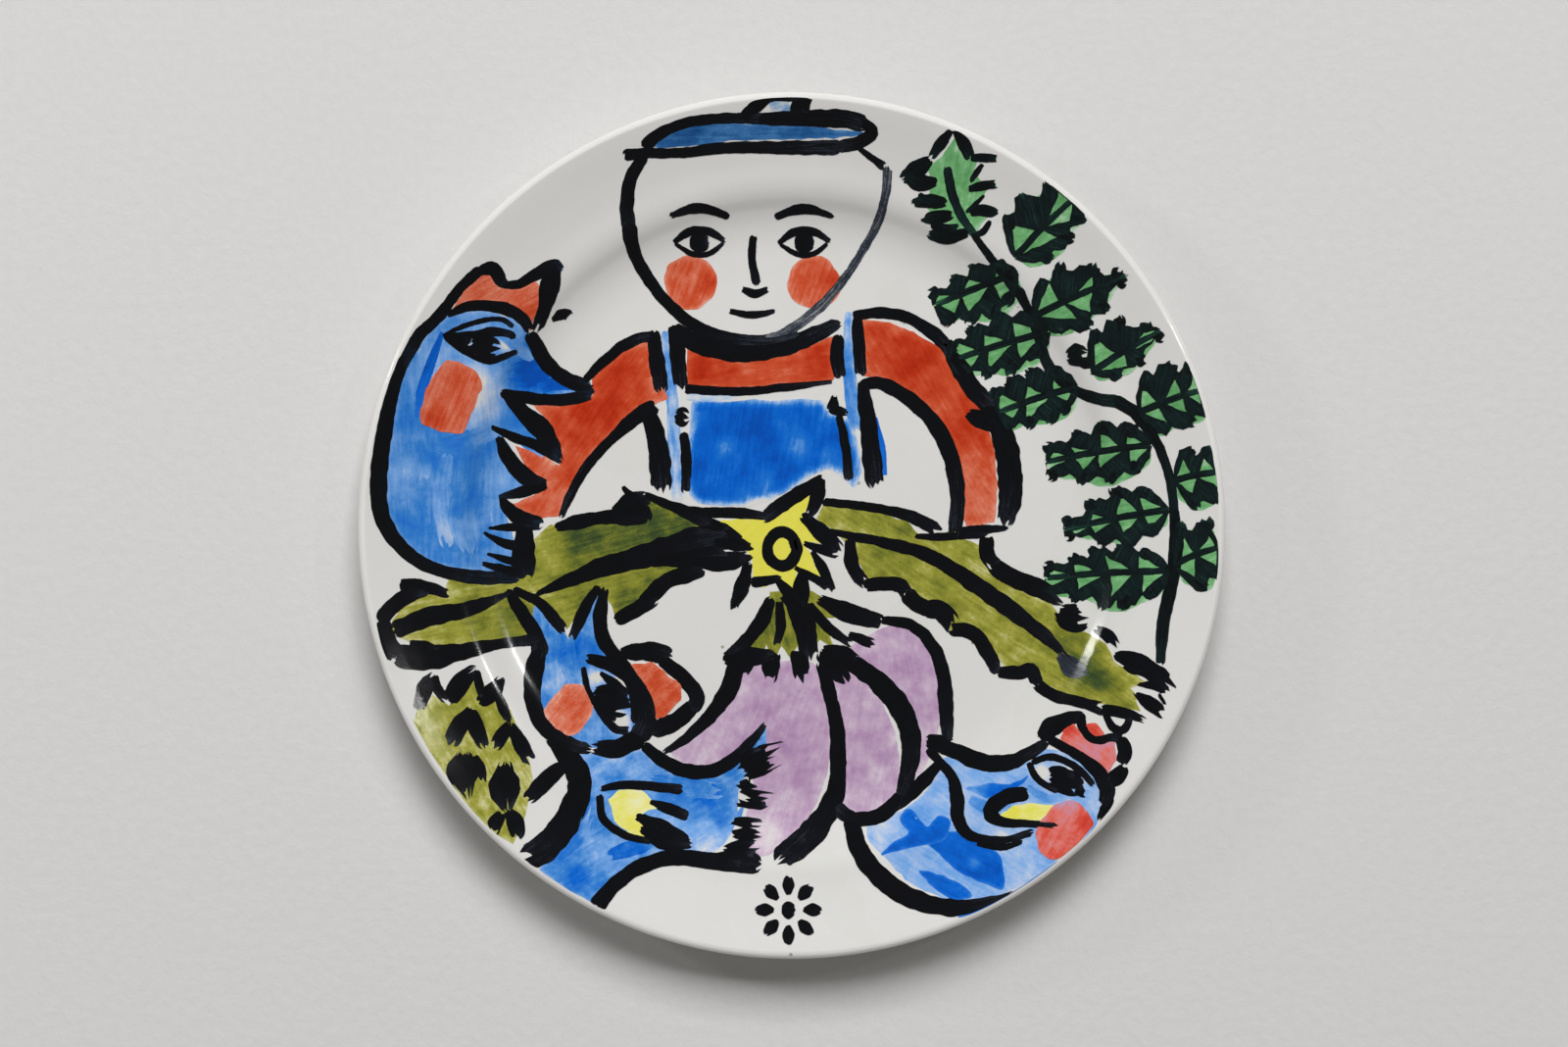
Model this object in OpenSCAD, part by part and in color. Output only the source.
// Hand-painted ceramic plate: a turned clay body, its coats of glaze, and the painted
// coats that were fired onto the face. Millimetres, +Z up, origin on the table under the
// plate's centre, +Y towards the top of the painting.

/* [Plate] */
// Diameter over the glazed lip
plate_d = 270; // [240:1:300]
// Height from the table to the crest of the lip
plate_h = 23; // [20:0.5:27]

/* [Foot] */
// Diameter of the foot ring at the middle of its standing face, on a plate of 270
foot_d = 156; // [150:1:158]
// Width of the bare clay face that the plate stands on
foot_w = 3; // [2:0.5:4]
// Depth of the glazed recess inside the foot ring
foot_h = 3; // [2:0.25:3.5]

/* [Coats] */
// Thickness of the white glaze
glaze_t = 0.4; // [0.3:0.05:0.6]
// Thickness of a wash of colour on the glaze
wash_t = 0.2; // [0.15:0.05:0.3]
// Thickness of a loaded black brush line
line_t = 0.35; // [0.3:0.05:0.5]
// Width of an ordinary black brush line
line_w = 4.5; // [3:0.5:6]

/* [Hidden] */
$fn = 120;

// The section is drawn for a plate of 270 x 23 and scaled to the driving sizes
across = plate_d / 270;
up = plate_h / 23;
lip_r = 2;
lip_centre = [133 * across, plate_h - lip_r];
lip_face_angle = 107;
lip_back_angle = -60;
glaze_line = 1.2;
foot_flank = 1.1;
foot_in = (foot_d * across - foot_w) / 2;
foot_out = (foot_d * across + foot_w) / 2;
steps = 3;
arc_step = 15;

function catmull(a, b, c, d, t) =
    (2 * b + (c - a) * t + (2 * a - 5 * b + 4 * c - d) * t * t
        + (3 * b - a - 3 * c + d) * t * t * t) / 2;

// Smooth open curve through a few points
function trail(p) = let (n = len(p) - 1) concat(
    [for (i = [0:n - 1], s = [0:steps - 1])
        catmull(p[max(i - 1, 0)], p[i], p[i + 1], p[min(i + 2, n)], s / steps)],
    [p[n]]);

// Smooth closed outline through a few points
function loop(p) = let (n = len(p)) [for (i = [0:n - 1], s = [0:steps - 1])
    catmull(p[(i + n - 1) % n], p[i], p[(i + 1) % n], p[(i + 2) % n], s / steps)];

function raised(p, dz) = [for (q = p) [q[0], q[1] + dz]];
function reversed(p) = [for (i = [len(p) - 1:-1:0]) p[i]];
function arc(c, r, from, to) = [for (i = [0:round(abs(to - from) / arc_step)])
    let (a = from + (to - from) * i / round(abs(to - from) / arc_step))
        c + r * [cos(a), sin(a)]];

// Face of the plate from the axis to the lip: flat floor, cavetto, flared rim
face_points = trail([[80, 7.2], [88, 7.6], [94, 8.8], [99, 10.8], [103.4, 13.5],
    [107.5, 15.1], [114, 16.6], [121, 18.7], [127, 20.8]]);
face = concat([[0, 7.2 * up]], [for (p = face_points) [p[0] * across, p[1] * up]],
    [arc(lip_centre, lip_r, lip_face_angle, 0)[0]]);

// Underside from the lip to the foot ring
back_points = trail([[128, 17.3], [120, 14.5], [110, 11.6], [102, 8.2], [94, 5.2], [86, 3.7]]);
back = concat([for (p = back_points) [p[0] * across, p[1] * up]],
    [[foot_out + foot_flank + 1, foot_h + 0.3]]);

// One standing edge of the foot ring and its glazed flanks
flank_out = [foot_out + foot_flank, glaze_line];
flank_in = [foot_in - foot_flank, glaze_line];
recess = [[foot_in - foot_flank - 1, foot_h], [0, foot_h]];

clay_lip = arc(lip_centre, lip_r - glaze_t, lip_face_angle, lip_back_angle);
clay_flanks = [flank_out - [glaze_t, 0], [foot_out, 0], [foot_in, 0], flank_in + [glaze_t, 0]];

module turned(section) rotate_extrude() polygon(section);

module clay_body() color("#e9dfd0")
    turned(concat(
        raised([for (i = [0:len(face) - 2]) face[i]], -glaze_t), clay_lip,
        raised(back, glaze_t), clay_flanks, raised(recess, glaze_t)));

module face_glaze() color("#efece6")
    turned(concat(
        face, [lip_centre + [0, lip_r]], [lip_centre + [0, lip_r - glaze_t]],
        [arc(lip_centre, lip_r - glaze_t, lip_face_angle, 0)[0]],
        reversed(raised([for (i = [0:len(face) - 2]) face[i]], -glaze_t))));

module back_glaze() color("#e6e2da")
    turned(concat(
        arc(lip_centre, lip_r, 90, lip_back_angle), back, [flank_out],
        [flank_out - [glaze_t, 0]], reversed(raised(back, glaze_t)),
        arc(lip_centre, lip_r - glaze_t, lip_back_angle, 90)));

module foot_recess_glaze() color("#e3dfd6")
    turned(concat(
        [flank_in], recess, reversed(raised(recess, glaze_t)), [flank_in + [glaze_t, 0]]));

// A painted coat: everything drawn inside it, laid on the curve of the face
module coat(thick) intersection() {
    turned(concat(face, reversed(raised(face, thick))));
    translate([0, 0, foot_h]) linear_extrude(plate_h) children();
}

// Closed shapes, smooth or with corners, drawn for a plate of 270
module blob(p) polygon(across * loop(p));
module patch(p) polygon(across * p);

// A brush line: full in the middle and narrower at both ends
function fullness(t) = 0.5 + 0.5 * sqrt(sin(180 * t));
function way(q, i) = let (d = q[min(i + 1, len(q) - 1)] - q[max(i - 1, 0)])
    [-d[1], d[0]] / norm(d);
module brush(p, w = line_w) {
    q = trail(p);
    n = len(q) - 1;
    polygon(across * concat(
        [for (i = [0:n]) q[i] + way(q, i) * w / 2 * fullness(i / n)],
        [for (i = [n:-1:0]) q[i] - way(q, i) * w / 2 * fullness(i / n)]));
}

// Figure in a cap and braces

module cap_blue() color("#3f74b5") coat(wash_t) {
    patch([[-44, 118], [-36, 123], [-18, 126], [20, 127], [26, 123], [20, 118], [-10, 117]]);
    patch([[-8, 128], [-6, 132], [2, 132], [4, 128]]);
}

module shirt_red() color("#c8432b") coat(wash_t) {
    patch([[-33, 57], [-17, 53], [-2, 55], [16, 60], [15, 44], [-33, 42]]);
    patch([[-44, 59], [-57, 52], [-64, 45], [-62, 36], [-72, 30], [-69, 18], [-80, 11],
        [-82, 3], [-73, 4], [-58, 27], [-42, 40]]);
    patch([[21, 65], [34, 64], [46, 55], [54, 42], [64, 22], [66, 0], [53, 0], [51, 20],
        [44, 34], [33, 42], [23, 45]]);
}

module overalls_blue() color("#1567ce") coat(wash_t) {
    patch([[-32, 41], [18, 41], [20, 10], [9, 8], [2, 5], [-30, 5]]);
    patch([[-42, 61], [-37, 61], [-34, 8], [-38, 8]]);
    patch([[16, 65], [20, 65], [25, 12], [20, 12]]);
}

cheek_r = 9;
eye_x = 17;
eye_y = 89;
face_x = -11.5;
cheek_y = 77;

module cheeks_red() color("#d9604b") coat(wash_t)
    for (side = [-1, 1]) translate(across * [face_x + side * 22, cheek_y])
        circle(cheek_r * across, $fn = 40);

module face_lines() color("#14181f") coat(line_t) {
    for (side = [-1, 1]) {
        translate(across * [face_x + side * eye_x, eye_y]) circle(3 * across, $fn = 32);
        brush([[face_x + side * 9, 96], [face_x + side * 17, 99], [face_x + side * 26, 96]], 2.5);
    }
    brush([[face_x, 90], [face_x + 0.5, 82], [face_x + 3, 75]], 2.5);
    brush([[face_x - 3, 74], [face_x + 4, 74.5]], 2.5);
    brush([[face_x - 8, 68], [face_x, 66.5], [face_x + 8, 68]], 2.2);
}

module figure_lines() color("#14181f") coat(line_t) {
    brush([[-52, 117], [-46, 120], [-38, 124.5], [-26, 127], [-10, 128], [10, 128.5], [26, 127]],
        3.5);
    brush([[28, 125], [20, 118.5], [0, 117.5], [-26, 116], [-50, 115]], 3.5);
    brush([[-50, 115], [-52, 100], [-49, 84], [-40, 70], [-26, 60], [-11, 57], [6, 61],
        [18, 72], [27, 88], [30, 103], [26, 116]]);
    brush([[-38, 62], [-30, 57], [-17, 54], [-2, 56], [18, 64]], 6);
    brush([[-65, 46], [-57, 54], [-48, 58], [-42, 60]]);
    brush([[-42, 38], [-57, 28], [-67, 15], [-73, 3]]);
    brush([[-45, 37], [-41, 25], [-38, 12]], 6.5);
    brush([[19, 67], [33, 67], [44, 61], [50, 54]]);
    brush([[23, 45], [34, 42], [44, 34], [51, 20], [52, -2]], 5.5);
    brush([[56, 36], [69, 28], [72, 15], [69, 2]], 6);
    brush([[22, 46], [26, 28], [27, 12]], 6);
    brush([[-43, 61], [-41, 42]], 4);
    brush([[-36, 62], [-34, 43]], 4);
    brush([[15, 62], [16, 46]], 4);
    brush([[20, 66], [22, 48]], 4);
    brush([[-33, 43], [-10, 43.5], [14, 44]], 3);
    brush([[-34, 29], [-33, 11]], 3.5);
    brush([[14, 40], [18, 28], [18, 15]], 3);
}

// Large bird

module big_bird_blue() color("#4f86cc") coat(wash_t)
    patch([[-98, 79], [-112, 61], [-122, 47], [-126, 30], [-126, 8], [-120, -6], [-108, -13],
        [-88, -14], [-84, -3], [-93, 0], [-80, 10], [-92, 16], [-74, 20], [-90, 34],
        [-74, 33], [-88, 43], [-64, 44], [-80, 58], [-86, 66]]);

module big_bird_red() color("#c8432b") coat(wash_t + 0.05) {
    patch([[-106, 68], [-97, 80], [-92, 79], [-88, 75], [-83, 76], [-76, 81], [-74, 78],
        [-76, 68], [-82, 63], [-90, 67]]);
    patch([[-111, 50], [-99, 46], [-103, 30], [-115, 34]]);
}

module big_bird_lines() color("#14181f") coat(line_t) {
    brush([[-97, 81], [-108, 68], [-119, 56], [-126, 36], [-128, 10], [-121, -8], [-106, -15],
        [-85, -17]], 5);
    brush([[-97, 81], [-90, 76], [-83, 76], [-72, 81]], 4);
    brush([[-72, 81], [-76, 71], [-80, 61]], 4);
    brush([[-107, 66], [-97, 68], [-88, 68], [-81, 61]], 3.5);
    brush([[-81, 60], [-73, 50], [-63, 45]], 4.5);
    brush([[-63, 43], [-76, 40.5], [-90, 42]], 4.5);
    brush([[-90, 41], [-77, 31], [-72, 20]], 6);
    brush([[-93, 28], [-85, 22], [-78, 13]], 5);
    brush([[-78, 13], [-85, 11], [-93, 9]], 5);
    brush([[-92, 6], [-84, -2], [-85, -16]], 5);
    brush([[-109, 61], [-97, 62.5], [-85, 56]], 2.5);
    brush([[-108, 58], [-97, 54], [-86, 54]], 2.5);
}

// Bird at the lower left

module left_bird_blue() color("#4f8fe0") coat(wash_t) {
    patch([[-87, -22], [-73, -33], [-62, -23], [-61, -38], [-49, -48], [-47, -64], [-56, -69],
        [-70, -68], [-80, -58], [-81, -42]]);
    patch([[-68, -71], [-44, -71], [-28, -77], [-14, -72], [-13, -102], [-42, -103],
        [-60, -116], [-66, -110], [-69, -98], [-62, -84]]);
}

module left_bird_red() color("#d4533c") coat(wash_t + 0.05) {
    patch([[-78, -54], [-68, -48], [-63, -58], [-70, -66], [-77, -63]]);
    patch([[-52, -43], [-38, -45], [-33, -52], [-44, -62], [-49, -54]]);
}

module left_bird_wing() color("#e8e04f") coat(wash_t + 0.05)
    patch([[-57, -86], [-48, -85], [-40, -90], [-44, -93], [-38, -98], [-50, -97], [-57, -93]]);

module left_bird_lines() color("#14181f") coat(line_t) {
    brush([[-89, -21], [-80, -30], [-72, -34]], 5);
    brush([[-72, -34], [-66, -29], [-61, -21]], 5);
    brush([[-61, -22], [-60, -36], [-50, -47], [-46, -57], [-49, -68], [-60, -71], [-73, -67],
        [-82, -56], [-81, -42], [-88, -24]], 5);
    brush([[-55, -41], [-38, -41], [-30, -52], [-37, -61], [-46, -65]], 6);
    brush([[-71, -71], [-65, -82], [-71, -96], [-85, -101]], 8);
    brush([[-45, -70], [-37, -75], [-27, -78], [-17, -73], [-9, -64]], 4.5);
    brush([[-62, -118], [-53, -110], [-40, -105], [-25, -105], [-11, -107]], 5);
    brush([[-35, -83], [-54, -84], [-61, -90], [-52, -97], [-33, -99]], 3);
    brush([[-65, -44], [-55, -47], [-50, -58]], 3);
    brush([[-65, -48], [-60, -57], [-51, -62]], 3);
    brush([[-18, -83], [-5, -85]], 9);
    brush([[-22, -93], [-10, -97]], 7);
}

// Bird at the lower right

module right_bird_blue() color("#2f7bdc") coat(wash_t)
    patch([[44, -70], [56, -76], [68, -76], [80, -70], [94, -78], [96, -90], [92, -104],
        [74, -113], [48, -117], [34, -113], [24, -100], [20, -91], [36, -84]]);

module right_bird_red() color("#de5a4c") coat(wash_t + 0.05) {
    patch([[80, -66], [86, -61], [94, -67], [102, -69], [103, -76], [94, -74]]);
    blob([[78, -90], [90, -86], [93, -95], [84, -103], [77, -99]]);
}

module right_bird_beak() color("#e8e04f") coat(wash_t + 0.05)
    patch([[62, -91], [72, -88], [82, -91], [72, -95]]);

module right_bird_lines() color("#14181f") coat(line_t) {
    brush([[43, -68], [54, -74], [68, -76], [80, -68], [92, -75], [98, -83], [96, -91]], 4);
    brush([[79, -65], [88, -60], [96, -65], [104, -68], [104, -78], [98, -80]], 4.5);
    brush([[48, -74], [52, -84], [55, -96], [66, -98], [75, -94]], 3);
    brush([[20, -92], [24, -103], [36, -115], [50, -118.5], [68, -115]], 5);
    brush([[76, -75], [88, -74], [96, -81]], 2.5);
    brush([[77, -79], [86, -85], [95, -84]], 2.5);
}

// Long toothed leaves and the flower between them

module left_leaf_green() color("#7b8030") coat(wash_t) {
    patch([[-84, -16], [-66, 1], [-50, 10], [-36, 5], [-18, -4], [-32, -14], [-54, -28],
        [-74, -31]]);
    patch([[-126, -34], [-112, -24], [-90, -19], [-82, -24], [-82, -36], [-96, -37],
        [-112, -40]]);
}

module right_leaf_green() color("#7b8030") coat(wash_t)
    patch([[14, 2], [36, 0], [60, -8], [74, -20], [92, -34], [116, -52], [112, -60],
        [86, -52], [64, -44], [46, -32], [28, -20], [20, -14]]);

module leaf_lines() color("#14181f") coat(line_t) {
    brush([[-74, -1], [-62, 4], [-52, 9], [-38, 7], [-16, 2]], 5);
    brush([[-78, -21], [-53, -14], [-32, -6], [-14, -7]], 6.5);
    brush([[-56, -29], [-40, -20], [-28, -13], [-14, -11]], 5);
    brush([[-126, -31], [-113, -22], [-101, -21]], 5);
    brush([[-122, -33], [-104, -27], [-89, -21]], 5);
    brush([[-126, -41], [-110, -42], [-96, -38], [-82, -37]], 6);
    brush([[10, 6], [36, 3], [60, -5], [72, -17], [92, -31], [119, -51]], 4.5);
    brush([[18, -4], [34, -8], [52, -17], [71, -30], [88, -42]], 5);
    brush([[18, -6], [26, -18], [40, -26], [56, -34], [66, -45], [84, -52], [112, -61]], 4.5);
}

flower_centre = [-3, -7];
flower_tips = 10;

module flower_yellow() color("#e8e04f") coat(wash_t)
    translate(across * flower_centre) polygon(across * [for (i = [0:2 * flower_tips - 1])
        (i % 2 == 0 ? 16 : 9) * [cos(i * 180 / flower_tips), sin(i * 180 / flower_tips)]]);

module calyx_green() color("#6f7422") coat(wash_t)
    patch([[-3, -22], [4, -22], [12, -40], [4, -46], [-2, -44], [-8, -46], [-15, -41]]);

module flower_lines() color("#14181f") coat(line_t) {
    translate(across * flower_centre) difference() {
        circle(5 * across, $fn = 32);
        circle(2.2 * across, $fn = 32);
    }
    brush([[-24, -2], [-20, -12], [-18, -24]], 4.5);
    brush([[-4, 6], [3, 11], [9, 17]], 4.5);
    brush([[9, 16], [12, 8], [12, 0]], 4);
    brush([[-18, -43], [-10, -36], [-4, -24]], 4.5);
    brush([[8, -22], [12, -32], [24, -37]], 4.5);
    for (x = [-14, -6, 2, 10]) brush([[x, -40], [x + 1, -47]], 4);
}

module aubergine_purple() color("#b48bb8") coat(wash_t) {
    blob([[-14, -45], [6, -44], [13, -62], [12, -82], [2, -98], [-10, -103], [-12, -84],
        [-34, -74], [-20, -60]]);
    blob([[10, -42], [22, -46], [34, -60], [33, -82], [20, -90], [14, -84], [16, -62]]);
    blob([[20, -38], [36, -36], [46, -48], [48, -66], [36, -82], [37, -62], [30, -48]]);
}

module aubergine_lines() color("#14181f") coat(line_t) {
    brush([[-18, -43], [-19, -54], [-28, -66], [-40, -73]], 4);
    brush([[9, -44], [14, -58], [15, -74], [11, -88], [2, -99], [-10, -106]], 6);
    brush([[19, -41], [30, -50], [37, -62], [36, -80], [27, -91], [15, -90]], 4.5);
    brush([[26, -34], [40, -38], [49, -50], [50, -70]], 4);
}

module cone_green() color("#a3a43c") coat(wash_t)
    patch([[-117, -50], [-108, -46], [-96, -47], [-88, -56], [-82, -72], [-82, -90],
        [-91, -97], [-104, -84], [-114, -66]]);

module cone_marks() color("#14181f") coat(line_t) {
    for (at = [[-101, -65], [-88, -68], [-101, -80], [-90, -82], [-90, -93]])
        translate(across * at)
            patch([[0, 4.5], [4, 0], [3, -5], [0, -2.5], [-3, -5], [-4, 0]]);
    for (x = [-114, -104, -94]) {
        brush([[x - 4, -58], [x, -48]], 3.5);
        brush([[x, -48], [x + 5, -56]], 3.5);
    }
}

// Sprig down the right of the rim: [x, y, length, turn] for each leaf
sprig = [[50, 107, 34, 95], [77, 94, 24, 60], [58, 71, 28, 195], [90, 71, 30, 30],
    [64, 56, 30, 195], [104, 54, 24, 30], [77, 38, 28, 195], [119, 43, 22, 50],
    [96, 22, 34, 190], [126, 17, 16, 60], [101, 1, 34, 195], [126, -9, 18, 60],
    [98, -18, 36, 195]];
leaf_teeth = 6;

function leaf(size) = let (n = leaf_teeth) concat(
    [for (i = [0:2 * n]) size * [i / n / 2 - 0.5, sin(90 * i / n) * (i % 2 == 0 ? 0.2 : 0.29)]],
    [for (i = [2 * n - 1:-1:1])
        size * [i / n / 2 - 0.5, -sin(90 * i / n) * (i % 2 == 0 ? 0.2 : 0.29)]]);

module sprig_leaves() color("#5fa565") coat(wash_t)
    for (s = sprig) translate(across * [s[0], s[1]]) rotate(s[3])
        polygon(across * leaf(s[2]));

module sprig_lines() color("#14181f") coat(line_t) {
    brush([[57, 90], [66, 78], [74, 66], [80, 54], [89, 43], [103, 39], [113, 29], [119, 10],
        [120, -8], [116, -44]], 3);
    for (s = sprig) translate(across * [s[0], s[1]]) rotate(s[3])
        brush([[-0.42 * s[2], 0], [0, 0.6], [0.42 * s[2], 0]], 2.5);
}

petals = 8;

module rim_flower_mark() color("#14181f") coat(line_t)
    translate(across * [-1, -120]) {
        circle(3 * across, $fn = 32);
        for (i = [0:petals - 1]) rotate(i * 360 / petals) brush([[5, 0], [10, 0]], 3);
    }

clay_body();
face_glaze();
back_glaze();
foot_recess_glaze();
cap_blue();
shirt_red();
overalls_blue();
cheeks_red();
face_lines();
figure_lines();
big_bird_blue();
big_bird_red();
big_bird_lines();
left_bird_blue();
left_bird_red();
left_bird_wing();
left_bird_lines();
right_bird_blue();
right_bird_red();
right_bird_beak();
right_bird_lines();
left_leaf_green();
right_leaf_green();
leaf_lines();
flower_yellow();
calyx_green();
flower_lines();
aubergine_purple();
aubergine_lines();
cone_green();
cone_marks();
sprig_leaves();
sprig_lines();
rim_flower_mark();
